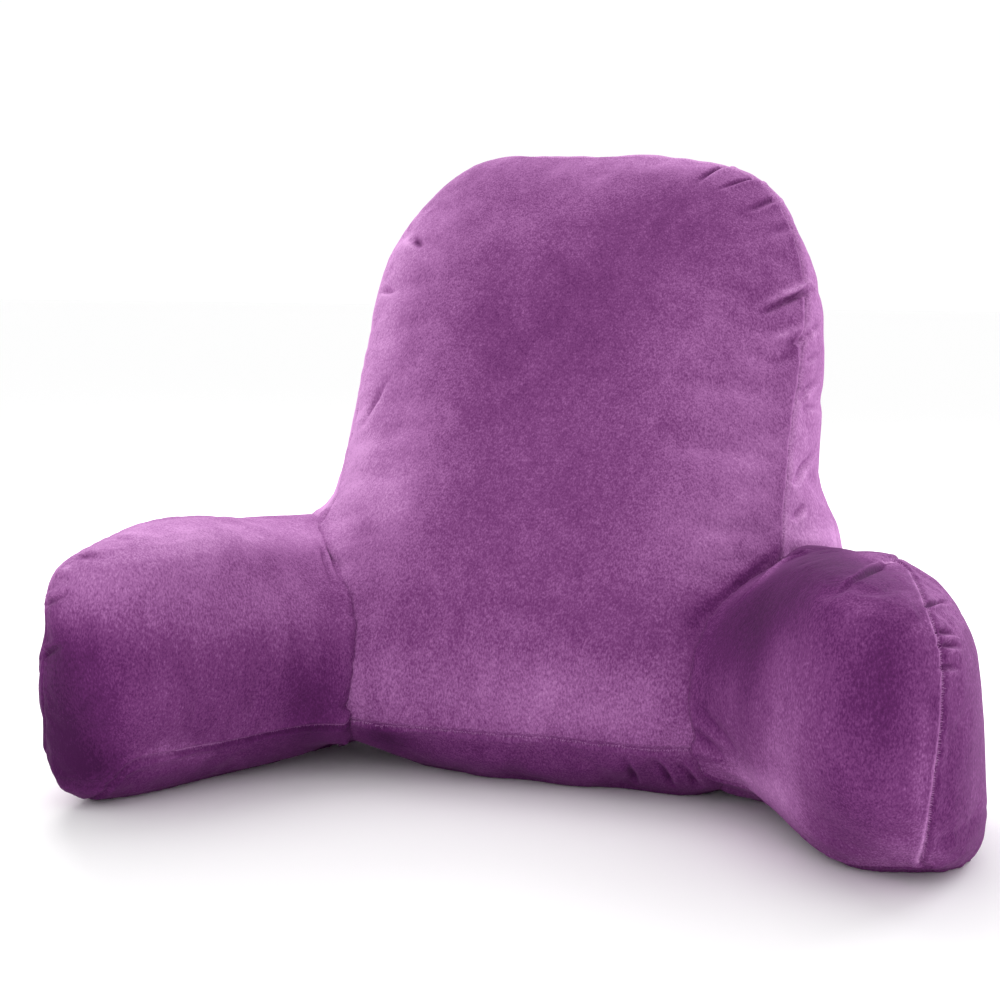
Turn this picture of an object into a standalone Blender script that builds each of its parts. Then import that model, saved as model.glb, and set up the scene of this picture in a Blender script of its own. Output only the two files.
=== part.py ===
"""Reading pillow with arms: a leaning, filled backrest with a filled arm on each side.

Metres, +Z up. The sitter leans back toward +Y and the arms reach forward along -Y.
The origin is on the backrest's flat resting face, midway between the arms.
"""
import math
from collections import namedtuple

import bmesh
import bpy
from mathutils import Vector

# Backrest
FRONT_SEAM_Y = -0.085       # bottom of the front seam, ahead of the origin
FRONT_SEAM_Z = 0.043
FRONT_LEAN = math.radians(30.5)
REAR_SEAM_Y = 0.082
REAR_SEAM_Z = 0.030
REAR_LEAN = math.radians(16.5)
PANEL_CENTRE_Z = 0.235      # height of both panels' middles, where their crowns peak
FRONT_CROWN = 0.041
REAR_CROWN = 0.034
CROWN_FLATNESS = 4          # the higher, the further a panel's flat middle reaches
CROWN_EDGE = 0.7            # below 1, a panel rises steeply off its seam
STRIP_EDGE = 0.7            # the same for the strip between the two panels
BASE_SAG = 1.5              # how much more the strip swells downward than sideways
BACK_POINTS = 128           # points round each ring of the backrest

# Arms
BELLY_HEIGHT = 0.095        # where an arm is at its widest
BASE_CURVE = 1.7            # above 1, an arm's base rolls up slowly off the floor
ARM_DOME = 0.008            # rise of an arm's top above its edge
ARM_POINTS = 72             # points round each ring of an arm
ARM_SMOOTHING = 3           # rounds of evening out, above the rings nearest the floor
FOOT_RINGS = 3
SEAM_DEPTH = 0.0015         # how far the stitching pulls an arm's seams in
END_SEAM_SIDE = 0.30        # share of the plan, back from the corner, with the top edge sewn

SEAM_GAP = 0.0003           # the arms stay this far off the backrest
CURVE_STEPS = 24            # straight steps between two rows of a smooth outline

# One row for each place along the right half of the backrest's two seams, bottom to top,
# with how far the strip between them swells.
SeamRow = namedtuple("SeamRow", "front_x front_z rear_x rear_z swell")
SEAM_ROWS = (
    SeamRow(0.000, 0.043, 0.000, 0.036, 0.046),
    SeamRow(0.060, 0.043, 0.055, 0.036, 0.046),
    SeamRow(0.115, 0.043, 0.112, 0.037, 0.045),
    SeamRow(0.154, 0.052, 0.158, 0.048, 0.036),
    SeamRow(0.173, 0.090, 0.192, 0.085, 0.018),
    SeamRow(0.178, 0.142, 0.212, 0.132, 0.010),
    SeamRow(0.178, 0.190, 0.208, 0.176, 0.008),
    SeamRow(0.178, 0.240, 0.186, 0.222, 0.008),
    SeamRow(0.178, 0.310, 0.178, 0.292, 0.009),
    SeamRow(0.177, 0.368, 0.174, 0.352, 0.009),
    SeamRow(0.167, 0.415, 0.160, 0.398, 0.008),
    SeamRow(0.144, 0.449, 0.137, 0.431, 0.008),
    SeamRow(0.110, 0.467, 0.104, 0.447, 0.008),
    SeamRow(0.055, 0.472, 0.050, 0.452, 0.008),
    SeamRow(0.000, 0.472, 0.000, 0.452, 0.008),
)
# Rings of a panel as shares of its seam's size, and rows of the strip as shares of its width.
FRONT_RINGS = (0.16, 0.32, 0.46, 0.58, 0.69, 0.78, 0.86, 0.92, 0.97)
STRIP_ROWS = (0.12, 0.30, 0.50, 0.70, 0.88)
REAR_RINGS = (0.96, 0.88, 0.76, 0.60, 0.42, 0.22)

# Puckers that the stitching draws in the front panel: where each meets the seam, its depth,
# and the share of the panel that it reaches across.
Pucker = namedtuple("Pucker", "x z depth reach")
PUCKERS = (
    Pucker(0.108, 0.467, 0.004, 0.22),
    Pucker(0.153, 0.438, 0.004, 0.24),
    Pucker(0.178, 0.362, 0.006, 0.30),
    Pucker(0.178, 0.338, 0.005, 0.26),
    Pucker(0.178, 0.285, 0.003, 0.20),
    Pucker(-0.165, 0.418, 0.005, 0.24),
    Pucker(-0.177, 0.368, 0.003, 0.18),
    Pucker(-0.178, 0.268, 0.004, 0.28),
)

# One row for each place round the right arm's plan: the edge of its foot on the floor, the
# seam round its base, its belly half-way up, and its top edge. The first row is the corner
# that the end seam runs up. The higher its fullness, the squarer the shoulder above the belly.
ArmRow = namedtuple("ArmRow", "foot_x foot_y seam_x seam_y seam_z"
                              " belly_x belly_y top_x top_y top_z fullness")
ARM_ROWS = (
    ArmRow(0.300, -0.170, 0.308, -0.203, 0.020, 0.305, -0.222, 0.291, -0.217, 0.180, 2.4),
    ArmRow(0.268, -0.158, 0.266, -0.202, 0.018, 0.264, -0.237, 0.260, -0.218, 0.190, 2.2),
    ArmRow(0.243, -0.134, 0.235, -0.178, 0.024, 0.228, -0.228, 0.232, -0.203, 0.193, 2.0),
    ArmRow(0.226, -0.102, 0.202, -0.148, 0.033, 0.196, -0.182, 0.212, -0.153, 0.190, 1.7),
    ArmRow(0.204, -0.062, 0.165, -0.110, 0.039, 0.161, -0.128, 0.199, -0.096, 0.183, 1.6),
    ArmRow(0.180, -0.020, 0.131, -0.080, 0.043, 0.129, -0.080, 0.188, -0.038, 0.177, 1.6),
    ArmRow(0.164, 0.008, 0.112, -0.025, 0.043, 0.112, -0.020, 0.180, 0.003, 0.178, 1.6),
    ArmRow(0.168, 0.036, 0.130, 0.040, 0.040, 0.130, 0.045, 0.180, 0.035, 0.180, 1.8),
    ArmRow(0.190, 0.050, 0.178, 0.080, 0.036, 0.182, 0.087, 0.202, 0.056, 0.175, 2.2),
    ArmRow(0.238, 0.035, 0.243, 0.058, 0.035, 0.247, 0.066, 0.232, 0.030, 0.172, 2.2),
    ArmRow(0.293, -0.030, 0.299, -0.018, 0.033, 0.300, -0.010, 0.254, -0.040, 0.181, 2.2),
    ArmRow(0.315, -0.085, 0.323, -0.085, 0.029, 0.321, -0.085, 0.268, -0.105, 0.189, 2.4),
    ArmRow(0.318, -0.140, 0.326, -0.158, 0.023, 0.322, -0.168, 0.280, -0.168, 0.189, 2.4),
)
BASE_LEVELS = (0.0, 0.4, 0.75, 0.93, 1.0)               # foot to the seam round the base
SIDE_LEVELS = (0.06, 0.20, 0.40, 0.66, 1.0)             # that seam to belly
SHOULDER_LEVELS = (0.28, 0.52, 0.72, 0.88, 1.00)        # belly to top edge
DOME_RINGS = (0.84, 0.64, 0.44, 0.22)                   # top edge to the arm's highest point

PLUSH_COLOUR = (0.165, 0.040, 0.195, 1.0)
PLUSH_ROUGHNESS = 0.9
PLUSH_SHEEN = 0.4


def clear_scene():
    """Remove every object that the file starts with."""
    for item in list(bpy.data.objects):
        bpy.data.objects.remove(item, do_unlink=True)


def plush(name):
    """A short-pile purple cloth."""
    material = bpy.data.materials.new(name)
    material.use_nodes = True
    shader = material.node_tree.nodes["Principled BSDF"]
    shader.inputs["Base Color"].default_value = PLUSH_COLOUR
    shader.inputs["Roughness"].default_value = PLUSH_ROUGHNESS
    shader.inputs["Metallic"].default_value = 0.0
    shader.inputs["Sheen Weight"].default_value = PLUSH_SHEEN
    return material


def spline(before, start, end, after, t):
    """Catmull-Rom point between start and end."""
    return 0.5 * (2 * start + (end - before) * t
                  + (2 * before - 5 * start + 4 * end - after) * t ** 2
                  + (3 * start - before - 3 * end + after) * t ** 3)


def closed_curve(knots, count):
    """Rows of numbers, evenly spaced along a closed smooth curve through the knots."""
    dense = []
    for index in range(len(knots)):
        four = [knots[(index + step) % len(knots)] for step in (-1, 0, 1, 2)]
        for step in range(CURVE_STEPS):
            dense.append([spline(*column, step / CURVE_STEPS) for column in zip(*four)])
    dense.append(dense[0])
    lengths = [0.0]
    for first, second in zip(dense, dense[1:]):
        lengths.append(lengths[-1] + math.dist(first[:2], second[:2]))
    rows = []
    segment = 0
    for index in range(count):
        target = lengths[-1] * index / count
        while lengths[segment + 1] < target:
            segment += 1
        share = (target - lengths[segment]) / (lengths[segment + 1] - lengths[segment])
        rows.append([a + (b - a) * share for a, b in zip(dense[segment], dense[segment + 1])])
    return rows


def crown(ring):
    """Height of a filled panel, from 1 at its middle (ring 0) to 0 at its seam (ring 1)."""
    return (1 - ring ** CROWN_FLATNESS) ** CROWN_EDGE


def skin_rings(rings, first_point, last_point):
    """A closed skin over rings of points, with a point closing either end where given."""
    mesh = bmesh.new()
    verts = [[mesh.verts.new(point) for point in ring] for ring in rings]
    count = len(rings[0])
    for lower, upper in zip(verts, verts[1:]):
        for index in range(count):
            after = (index + 1) % count
            mesh.faces.new((lower[index], lower[after], upper[after], upper[index]))
    for ring, point in ((verts[0], first_point), (verts[-1], last_point)):
        if point is None:
            mesh.faces.new(ring)
            continue
        middle = mesh.verts.new(point)
        for index in range(count):
            mesh.faces.new((ring[index], ring[(index + 1) % count], middle))
    bmesh.ops.recalc_face_normals(mesh, faces=mesh.faces)
    return mesh, verts


def finish_mesh(mesh, name, material):
    """One smooth-shaded object of triangles."""
    bmesh.ops.triangulate(mesh, faces=mesh.faces)
    data = bpy.data.meshes.new(name)
    mesh.to_mesh(data)
    mesh.free()
    data.shade_smooth()
    data.materials.append(material)
    item = bpy.data.objects.new(name, data)
    bpy.context.collection.objects.link(item)
    return item


def flatten_base(mesh):
    """Cut off what lies below the floor and close the cut with one flat face."""
    everything = mesh.verts[:] + mesh.edges[:] + mesh.faces[:]
    cut = bmesh.ops.bisect_plane(mesh, geom=everything, plane_co=(0, 0, 0),
                                 plane_no=(0, 0, 1), clear_inner=True, dist=0.0001)
    rim = [edge for edge in cut["geom_cut"] if isinstance(edge, bmesh.types.BMEdge)]
    bmesh.ops.holes_fill(mesh, edges=rim, sides=0)
    bmesh.ops.recalc_face_normals(mesh, faces=mesh.faces)


def leaning_point(x, z, foot_y, foot_z, lean):
    """A point of a plane that leans back from its foot."""
    return Vector((x, foot_y + (z - foot_z) * math.tan(lean), z))


def front_point(x, z):
    return leaning_point(x, z, FRONT_SEAM_Y, FRONT_SEAM_Z, FRONT_LEAN)


def rear_point(x, z):
    return leaning_point(x, z, REAR_SEAM_Y, REAR_SEAM_Z, REAR_LEAN)


def panel_rings(seam, middle, facing, height, shares):
    """Rings of a crowned panel: its seam's outline drawn toward its middle and raised."""
    return [[middle + (point - middle) * share + facing * height * crown(share)
             for point in seam] for share in shares]


def pucker_panel(rings, seam, facing):
    """Press each pucker into the rings of the front panel, deeper toward the seam."""
    for pucker in PUCKERS:
        place = front_point(pucker.x, pucker.z)
        nearest = min(range(len(seam)), key=lambda index: (seam[index] - place).length)
        for ring, share in zip(rings, FRONT_RINGS):
            press = 1 - (1 - share) / pucker.reach
            if press > 0:
                ring[nearest] -= facing * pucker.depth * press


def strip_rows(places):
    """Rows of the strip between the two seams, swelling outward and sagging at the base."""
    rows = []
    for share in STRIP_ROWS:
        row = []
        for near, far, swell in places:
            drop = near.z - PANEL_CENTRE_Z
            if drop < 0:
                drop *= BASE_SAG
            outward = Vector((near.x, 0, drop)).normalized()
            bulge = swell * math.sin(math.pi * share) ** STRIP_EDGE
            row.append(near.lerp(far, share) + outward * bulge)
        rows.append(row)
    return rows


def build_backrest(material):
    """A leaning wedge: crowned front and rear panels with a swelling strip between."""
    right = [list(row) for row in SEAM_ROWS]
    left = [[-row.front_x, row.front_z, -row.rear_x, row.rear_z, row.swell]
            for row in SEAM_ROWS[-2:0:-1]]
    places = [(front_point(front_x, front_z), rear_point(rear_x, rear_z), swell)
              for front_x, front_z, rear_x, rear_z, swell
              in closed_curve(right + left, BACK_POINTS)]
    front_seam = [place[0] for place in places]
    rear_seam = [place[1] for place in places]
    front_middle = front_point(0, PANEL_CENTRE_Z)
    rear_middle = rear_point(0, PANEL_CENTRE_Z)
    front_facing = Vector((0, -math.cos(FRONT_LEAN), math.sin(FRONT_LEAN)))
    rear_facing = Vector((0, math.cos(REAR_LEAN), -math.sin(REAR_LEAN)))

    front = panel_rings(front_seam, front_middle, front_facing, FRONT_CROWN, FRONT_RINGS)
    pucker_panel(front, front_seam, front_facing)
    rear = panel_rings(rear_seam, rear_middle, rear_facing, REAR_CROWN, REAR_RINGS)
    rings = front + [front_seam] + strip_rows(places) + [rear_seam] + rear
    mesh, _ = skin_rings(rings, front_middle + front_facing * FRONT_CROWN,
                         rear_middle + rear_facing * REAR_CROWN)
    flatten_base(mesh)
    return finish_mesh(mesh, "backrest", material)


def arm_rings():
    """Rings of points from an arm's foot, over its belly, to its top edge and dome."""
    rows = [ArmRow(*row) for row in closed_curve([list(row) for row in ARM_ROWS], ARM_POINTS)]
    rings = []
    for level in BASE_LEVELS:
        rings.append([Vector((row.foot_x + (row.seam_x - row.foot_x) * level,
                              row.foot_y + (row.seam_y - row.foot_y) * level,
                              row.seam_z * level ** BASE_CURVE)) for row in rows])
    for level in SIDE_LEVELS:
        spread = math.sin(math.pi / 2 * level)
        rings.append([Vector((row.seam_x + (row.belly_x - row.seam_x) * spread,
                              row.seam_y + (row.belly_y - row.seam_y) * spread,
                              row.seam_z + (BELLY_HEIGHT - row.seam_z) * level))
                      for row in rows])
    for level in SHOULDER_LEVELS:
        ring = []
        for row in rows:
            draw_in = 1 - (1 - level ** row.fullness) ** (1 / row.fullness)
            ring.append(Vector((row.belly_x + (row.top_x - row.belly_x) * draw_in,
                                row.belly_y + (row.top_y - row.belly_y) * draw_in,
                                BELLY_HEIGHT + (row.top_z - BELLY_HEIGHT) * level)))
        rings.append(ring)
    edge = rings[-1]
    middle = sum(edge, Vector()) / len(edge)
    up = Vector((0, 0, 1))
    for share in DOME_RINGS:
        level_edge = [Vector((point.x, point.y, middle.z + (point.z - middle.z) * share))
                      for point in edge]
        rings += panel_rings(level_edge, middle, up, ARM_DOME, (share,))
    return rings, middle + up * ARM_DOME


def sew_arm(mesh, verts):
    """Pull in the seam round an arm's base, up its front corner and along its top edge."""
    base_seam = len(BASE_LEVELS) - 1
    top_edge = base_seam + len(SIDE_LEVELS) + len(SHOULDER_LEVELS)
    sewn = list(verts[base_seam])
    sewn += [ring[0] for ring in verts[base_seam + 1:top_edge + 1]]
    sewn += verts[top_edge][-int(ARM_POINTS * END_SEAM_SIDE):]
    mesh.normal_update()
    moves = [(vert, vert.normal * SEAM_DEPTH) for vert in sewn]
    for vert, move in moves:
        vert.co -= move


def build_arm(name, side, material, cutter):
    """One arm, on the side that the sign gives, cut away where the backrest is sewn to it."""
    rings, peak = arm_rings()
    rings = [[Vector((point.x * side, point.y, point.z)) for point in ring] for ring in rings]
    mesh, verts = skin_rings(rings, None, (peak.x * side, peak.y, peak.z))
    upper = [vert for ring in verts[FOOT_RINGS:] for vert in ring]
    for _ in range(ARM_SMOOTHING):
        bmesh.ops.smooth_vert(mesh, verts=upper, factor=0.5, use_axis_x=True,
                              use_axis_y=True, use_axis_z=True)
    sew_arm(mesh, verts)
    item = finish_mesh(mesh, name, material)
    cut = item.modifiers.new("Backrest seat", 'BOOLEAN')
    cut.operation = 'DIFFERENCE'
    cut.solver = 'EXACT'
    cut.object = cutter
    return item


def seam_cutter(backrest):
    """The backrest's form, a seam gap larger all over, to cut the arms with."""
    item = backrest.copy()
    item.data = backrest.data.copy()
    item.name = "backrest_cutter"
    normals = [vert.normal.copy() for vert in item.data.vertices]
    for vert, normal in zip(item.data.vertices, normals):
        vert.co += normal * SEAM_GAP
    item.hide_render = True
    item.display_type = 'WIRE'
    bpy.context.collection.objects.link(item)
    return item


def build_pillow():
    """The backrest first, then the two arms cut to fit it."""
    clear_scene()
    backrest = build_backrest(plush("backrest plush"))
    cutter = seam_cutter(backrest)
    build_arm("arm_right", 1, plush("right arm plush"), cutter)
    build_arm("arm_left", -1, plush("left arm plush"), cutter)


build_pillow()
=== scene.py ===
import math

import bmesh
import bpy
import numpy as np
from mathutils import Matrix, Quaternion, Vector, noise
from mathutils.bvhtree import BVHTree


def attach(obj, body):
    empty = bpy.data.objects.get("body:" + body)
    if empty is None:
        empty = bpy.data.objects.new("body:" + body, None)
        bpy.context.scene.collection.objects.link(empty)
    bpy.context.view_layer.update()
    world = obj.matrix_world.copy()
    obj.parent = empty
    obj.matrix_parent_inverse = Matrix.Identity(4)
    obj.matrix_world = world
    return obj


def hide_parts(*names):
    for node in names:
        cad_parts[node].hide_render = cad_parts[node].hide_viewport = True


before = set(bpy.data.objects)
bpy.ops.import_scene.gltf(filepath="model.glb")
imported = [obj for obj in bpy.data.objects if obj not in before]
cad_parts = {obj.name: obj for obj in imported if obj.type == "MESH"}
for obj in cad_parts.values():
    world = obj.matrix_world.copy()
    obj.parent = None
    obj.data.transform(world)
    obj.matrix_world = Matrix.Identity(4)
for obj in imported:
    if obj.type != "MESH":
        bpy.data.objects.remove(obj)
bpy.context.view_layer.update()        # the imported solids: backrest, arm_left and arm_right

# Reading pillow with arms, in short purple plush. Metres, +Z up, the arms reach along -Y.

# The camera stands where the photo was taken from.
camera = {
    "azimuth": 16.8,                     # degrees round to the right of straight ahead
    "elevation": 7.17,
    "roll": 0.52,
    "distance": 1.21,
    "target": (-0.0128, -0.085, 0.2165),
    "lens": 61.18,                       # mm, on a sensor 36 mm wide
    "sensor": 36.0,
    "photoSide": 1000,                   # pixels, for places that are named by their pixel
}


def makeCamera():
    azimuth = math.radians(camera["azimuth"])
    elevation = math.radians(camera["elevation"])
    back = Vector((math.sin(azimuth) * math.cos(elevation),
                   -math.cos(azimuth) * math.cos(elevation), math.sin(elevation)))
    bpy.ops.object.camera_add(location=Vector(camera["target"]) + back * camera["distance"])
    item = bpy.context.object
    item.name = "photoCamera"
    item.rotation_mode = 'QUATERNION'
    roll = Quaternion((0, 0, 1), math.radians(camera["roll"]))
    item.rotation_quaternion = back.to_track_quat('Z', 'Y') @ roll
    item.data.lens = camera["lens"]
    item.data.sensor_width = camera["sensor"]
    bpy.context.scene.camera = item
    bpy.context.view_layer.update()


def pixelRay(x, y):                      # from the camera through a pixel of the photo
    eye = bpy.context.scene.camera.matrix_world
    half = camera["photoSide"] / 2
    span = camera["sensor"] / camera["lens"] / camera["photoSide"]
    aim = Vector(((x - half) * span, (half - y) * span, -1))
    return eye.translation, (eye.to_3x3() @ aim).normalized()


def photoPlaces(points):                 # the pixels where points of the pillow show
    eye = bpy.context.scene.camera.matrix_world
    seen = (points - np.array(eye.translation)) @ np.array(eye.to_3x3())
    scale = camera["lens"] / camera["sensor"] * camera["photoSide"] / -seen[:, 2:]
    return camera["photoSide"] / 2 + seen[:, :2] * scale * np.array((1, -1))


makeCamera()
print("camera in place")


# Small helpers for meshes as arrays of points.
farAway = 9.0                            # metres, more than any gap on the pillow
samePlace = 1e-7                         # metres, points nearer than this are one
curveSteps = 24                          # from one knot of a curve to the next


def pointsOf(mesh):
    flat = np.empty(len(mesh.vertices) * 3)
    mesh.vertices.foreach_get("co", flat)
    return flat.reshape(-1, 3)


def setPoints(mesh, points):
    mesh.vertices.foreach_set("co", points.ravel())
    mesh.update()


def normalsOf(mesh):
    flat = np.empty(len(mesh.vertices) * 3)
    mesh.vertex_normals.foreach_get("vector", flat)
    return flat.reshape(-1, 3)


def paint(mesh, name, values):           # a value for each point, which the material reads
    layer = mesh.attributes.new(name, 'FLOAT', 'POINT')
    layer.data.foreach_set("value", values.astype(np.float32))


def select(item):
    bpy.ops.object.select_all(action='DESELECT')
    item.select_set(True)
    bpy.context.view_layer.objects.active = item


def apply(item, modifier):
    select(item)
    bpy.ops.object.modifier_apply(modifier=modifier.name)


def smoothStep(values, low, high):
    share = np.clip((values - low) / (high - low), 0, 1)
    return share * share * (3 - 2 * share)


def nearestOnLine(points, normals, line):
    # distance to a line of points, the side of it, and how far along it from 0 to 1
    gap = np.full(len(points), farAway)
    side = np.zeros(len(points))
    along = np.zeros(len(points))
    steps = np.linalg.norm(np.diff(line, axis=0), axis=1)
    reached = np.concatenate(([0.0], np.cumsum(steps)))
    for index, step in enumerate(steps):
        if step < samePlace:
            continue
        heading = (line[index + 1] - line[index]) / step
        offset = points - line[index]
        share = np.clip(offset @ heading, 0, step)
        offset = offset - share[:, None] * heading
        distance = np.linalg.norm(offset, axis=1)
        closer = distance < gap
        gap[closer] = distance[closer]
        along[closer] = (reached[index] + share[closer]) / reached[-1]
        across = np.cross(heading, normals[closer])
        side[closer] = np.sign(np.einsum("ij,ij->i", across, offset[closer]))
    return gap, side, along


def smoothLine(knots, spacing, closed=False):      # an evenly spaced curve through the knots
    knots = [np.array(knot, float) for knot in knots]
    if closed:
        knots = [knots[-1]] + knots + knots[:2]
    else:
        knots = [2 * knots[0] - knots[1]] + knots + [2 * knots[-1] - knots[-2]]
    dense = []
    for before, start, end, after in zip(knots, knots[1:], knots[2:], knots[3:]):
        for t in np.linspace(0, 1, curveSteps + 1)[:-1]:
            dense.append(0.5 * (2 * start + (end - before) * t
                                + (2 * before - 5 * start + 4 * end - after) * t ** 2
                                + (3 * start - before - 3 * end + after) * t ** 3))
    dense.append(knots[-2])
    dense = np.array(dense)
    reached = np.concatenate(([0.0], np.cumsum(np.linalg.norm(np.diff(dense, axis=0), axis=1))))
    places = np.linspace(0, reached[-1], max(2, int(reached[-1] / spacing)) + 1)
    return np.stack([np.interp(places, reached, dense[:, axis]) for axis in range(3)], axis=1)


def onSurface(tree, line):               # each point moved to the nearest place on a surface
    return np.array([tree.find_nearest(Vector(point))[0] for point in line])


def lineOver(tree, knots, spacing):
    # a line on a surface: a knot is a place, or a pixel of the photo that shows the place
    places = []
    for knot in knots:
        if len(knot) == 3:
            places.append(knot)
            continue
        origin, aim = pixelRay(*knot)
        hit = tree.ray_cast(origin, aim)[0]
        if hit is not None:
            places.append(hit)
    if len(places) < 2:
        return None
    return onSurface(tree, smoothLine(places, spacing))


# Seams of the backrest lie in the leaning planes of its front and rear panels.
seams = {
    "frontFoot": (-0.085, 0.043),        # y and z of the front seam's straight bottom
    "frontLean": 30.5,                   # degrees
    "rearFoot": (0.082, 0.030),
    "rearLean": 16.5,
    "planeMiss": 0.0002,                 # how far from the plane a point of the seam may be
    "spacing": 0.004,                    # between the points of a seam's curve
}

# Seams of the arms. "base" runs under the front and up to the joint, "strip" along the foot
# of the outer side, and "end" up the front corner and back over the top.
armSeams = {
    "arm_left": {
        "base": ((-0.120, -0.084, 0.044), (300, 728), (240, 740), (180, 752),
                 (130, 766), (-0.292, -0.190, 0.010), (-0.312, -0.180, 0.012)),
        "strip": ((-0.312, -0.180, 0.012), (-0.326, -0.130, 0.024), (-0.322, -0.085, 0.027),
                  (-0.299, -0.018, 0.033), (-0.243, 0.058, 0.035)),
        "end": ((-0.302, -0.188, 0.009), (-0.307, -0.203, 0.026), (-0.306, -0.214, 0.055),
                (-0.305, -0.220, 0.090), (-0.303, -0.221, 0.125), (-0.297, -0.219, 0.155),
                (-0.289, -0.212, 0.178), (-0.281, -0.180, 0.187), (-0.270, -0.120, 0.189),
                (-0.254, -0.045, 0.183)),
    },
    "arm_right": {
        "base": ((0.122, -0.082, 0.043), (0.150, -0.080, 0.022),
                 (0.185, -0.112, 0.010), (0.225, -0.148, 0.008), (0.260, -0.172, 0.007),
                 (0.300, -0.184, 0.009)),
        "strip": ((920, 862), (926, 844), (951, 834), (981, 814), (0.323, -0.070, 0.028),
                  (0.299, -0.018, 0.033), (0.243, 0.058, 0.035)),
        "end": ((0.300, -0.184, 0.009), (920, 862), (926, 839), (931, 806), (936, 768),
                (941, 730), (943, 691), (942, 663), (939, 643), (932, 620), (923, 597),
                (913, 576), (903, 565), (885, 561), (0.268, -0.075, 0.189),
                (0.250, -0.030, 0.180)),
    },
}


def planeGap(points, foot, lean):        # how far behind a leaning panel's seam
    return points[:, 1] - foot[0] - (points[:, 2] - foot[1]) * math.tan(math.radians(lean))


def planeSeam(foot, lean):               # the solid's points in a leaning plane, in order round
    points = pointsOf(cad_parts["backrest"].data)
    ring = points[np.abs(planeGap(points, foot, lean)) < seams["planeMiss"]]
    ring = np.unique(ring.round(6), axis=0)
    middle = (ring.min(axis=0) + ring.max(axis=0)) / 2
    order = np.argsort(np.arctan2(ring[:, 2] - middle[2], ring[:, 0] - middle[0]))
    return smoothLine(ring[order], seams["spacing"], closed=True)


frontSeam = planeSeam(seams["frontFoot"], seams["frontLean"])
rearSeam = planeSeam(seams["rearFoot"], seams["rearLean"])
print("seams", len(frontSeam), len(rearSeam))


# Each cushion starts from its solid, a little smaller, and its filling swells it.
# Pulls are pushes: all within reach of the place moves along, less toward the rim.
backrest = {
    "voxel": 0.0071,                     # size of the faces that the filling swells
    "startSmaller": 0.0025,
    "pressure": 4.0,
    "spareCloth": 0.015,                 # share of cloth more than the form needs
    "mostMove": 0.006,                   # the filling moves no point further
    "lumpHeight": 0.0014,
    "lumpSize": 0.075,
    "pulls": (
        {"place": (0.00, 0.19, 0.48), "reach": 0.36, "move": (-0.003, 0, 0.003)},
        {"place": (-0.01, 0.17, 0.475), "reach": 0.12, "move": (0, 0, 0.003)},
        {"place": (-0.152, 0.147, 0.435), "reach": 0.07, "move": (0.003, 0, -0.003)},
        {"place": (0.108, 0.156, 0.462), "reach": 0.06, "move": (-0.001, 0, -0.003)},
        {"place": (0.17, 0.14, 0.44), "reach": 0.10, "move": (-0.004, 0, -0.001)},
        {"place": (-0.09, 0.165, 0.47), "reach": 0.06, "move": (0, 0, 0.003)},
        {"place": (0.187, 0.145, 0.305), "reach": 0.12, "move": (0.0065, 0, 0)},
        {"place": (-0.15, -0.01, 0.00), "reach": 0.07, "move": (0.008, 0.028, 0.006)},
        {"place": (-0.02, -0.03, 0.00), "reach": 0.09, "move": (0, -0.012, 0)},
        {"place": (0.07, -0.03, 0.00), "reach": 0.09, "move": (0, -0.012, 0)},
        {"place": (0.14, -0.03, 0.00), "reach": 0.07, "move": (0.006, -0.015, 0)},
    ),
}
arm = {
    "voxel": 0.005,
    "startSmaller": 0.0015,
    "pressure": 4.0,
    "spareCloth": 0.015,
    "mostMove": 0.004,
    "lumpHeight": 0.0014,
    "lumpSize": 0.055,
}
armPulls = {
    "arm_left": (
        {"place": (-0.28, -0.185, 0.00), "reach": 0.08, "move": (0, -0.020, 0)},
        {"place": (-0.322, -0.172, 0.012), "reach": 0.045, "move": (0.010, 0.008, 0)},
        {"place": (-0.31, -0.205, 0.075), "reach": 0.06, "move": (-0.005, 0, 0)},
        {"place": (-0.255, -0.10, 0.19), "reach": 0.11, "move": (0, 0, 0.005)},
        {"place": (-0.316, -0.190, 0.01), "reach": 0.04, "move": (0.009, 0.010, 0)},
        {"place": (-0.155, -0.02, 0.00), "reach": 0.07, "move": (0.004, 0.026, 0.008)},
    ),
    "arm_right": (
        {"place": (0.29, -0.18, 0.00), "reach": 0.09, "move": (0, 0.012, 0.001)},
        {"place": (0.235, -0.125, 0.00), "reach": 0.085, "move": (0.002, -0.027, 0)},
        {"place": (0.30, -0.15, 0.00), "reach": 0.05, "move": (0, 0.006, 0)},
        {"place": (0.275, -0.08, 0.19), "reach": 0.06, "move": (0.002, 0, 0.005)},
        {"place": (0.190, 0.005, 0.185), "reach": 0.07, "move": (0.001, 0, -0.005)},
        {"place": (0.318, -0.09, 0.14), "reach": 0.07, "move": (-0.005, 0, 0)},
        {"place": (0.326, -0.12, 0.03), "reach": 0.06, "move": (0.003, 0, 0)},
        {"place": (0.160, -0.020, 0.00), "reach": 0.05, "move": (-0.014, -0.020, 0)},
    ),
}
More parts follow.
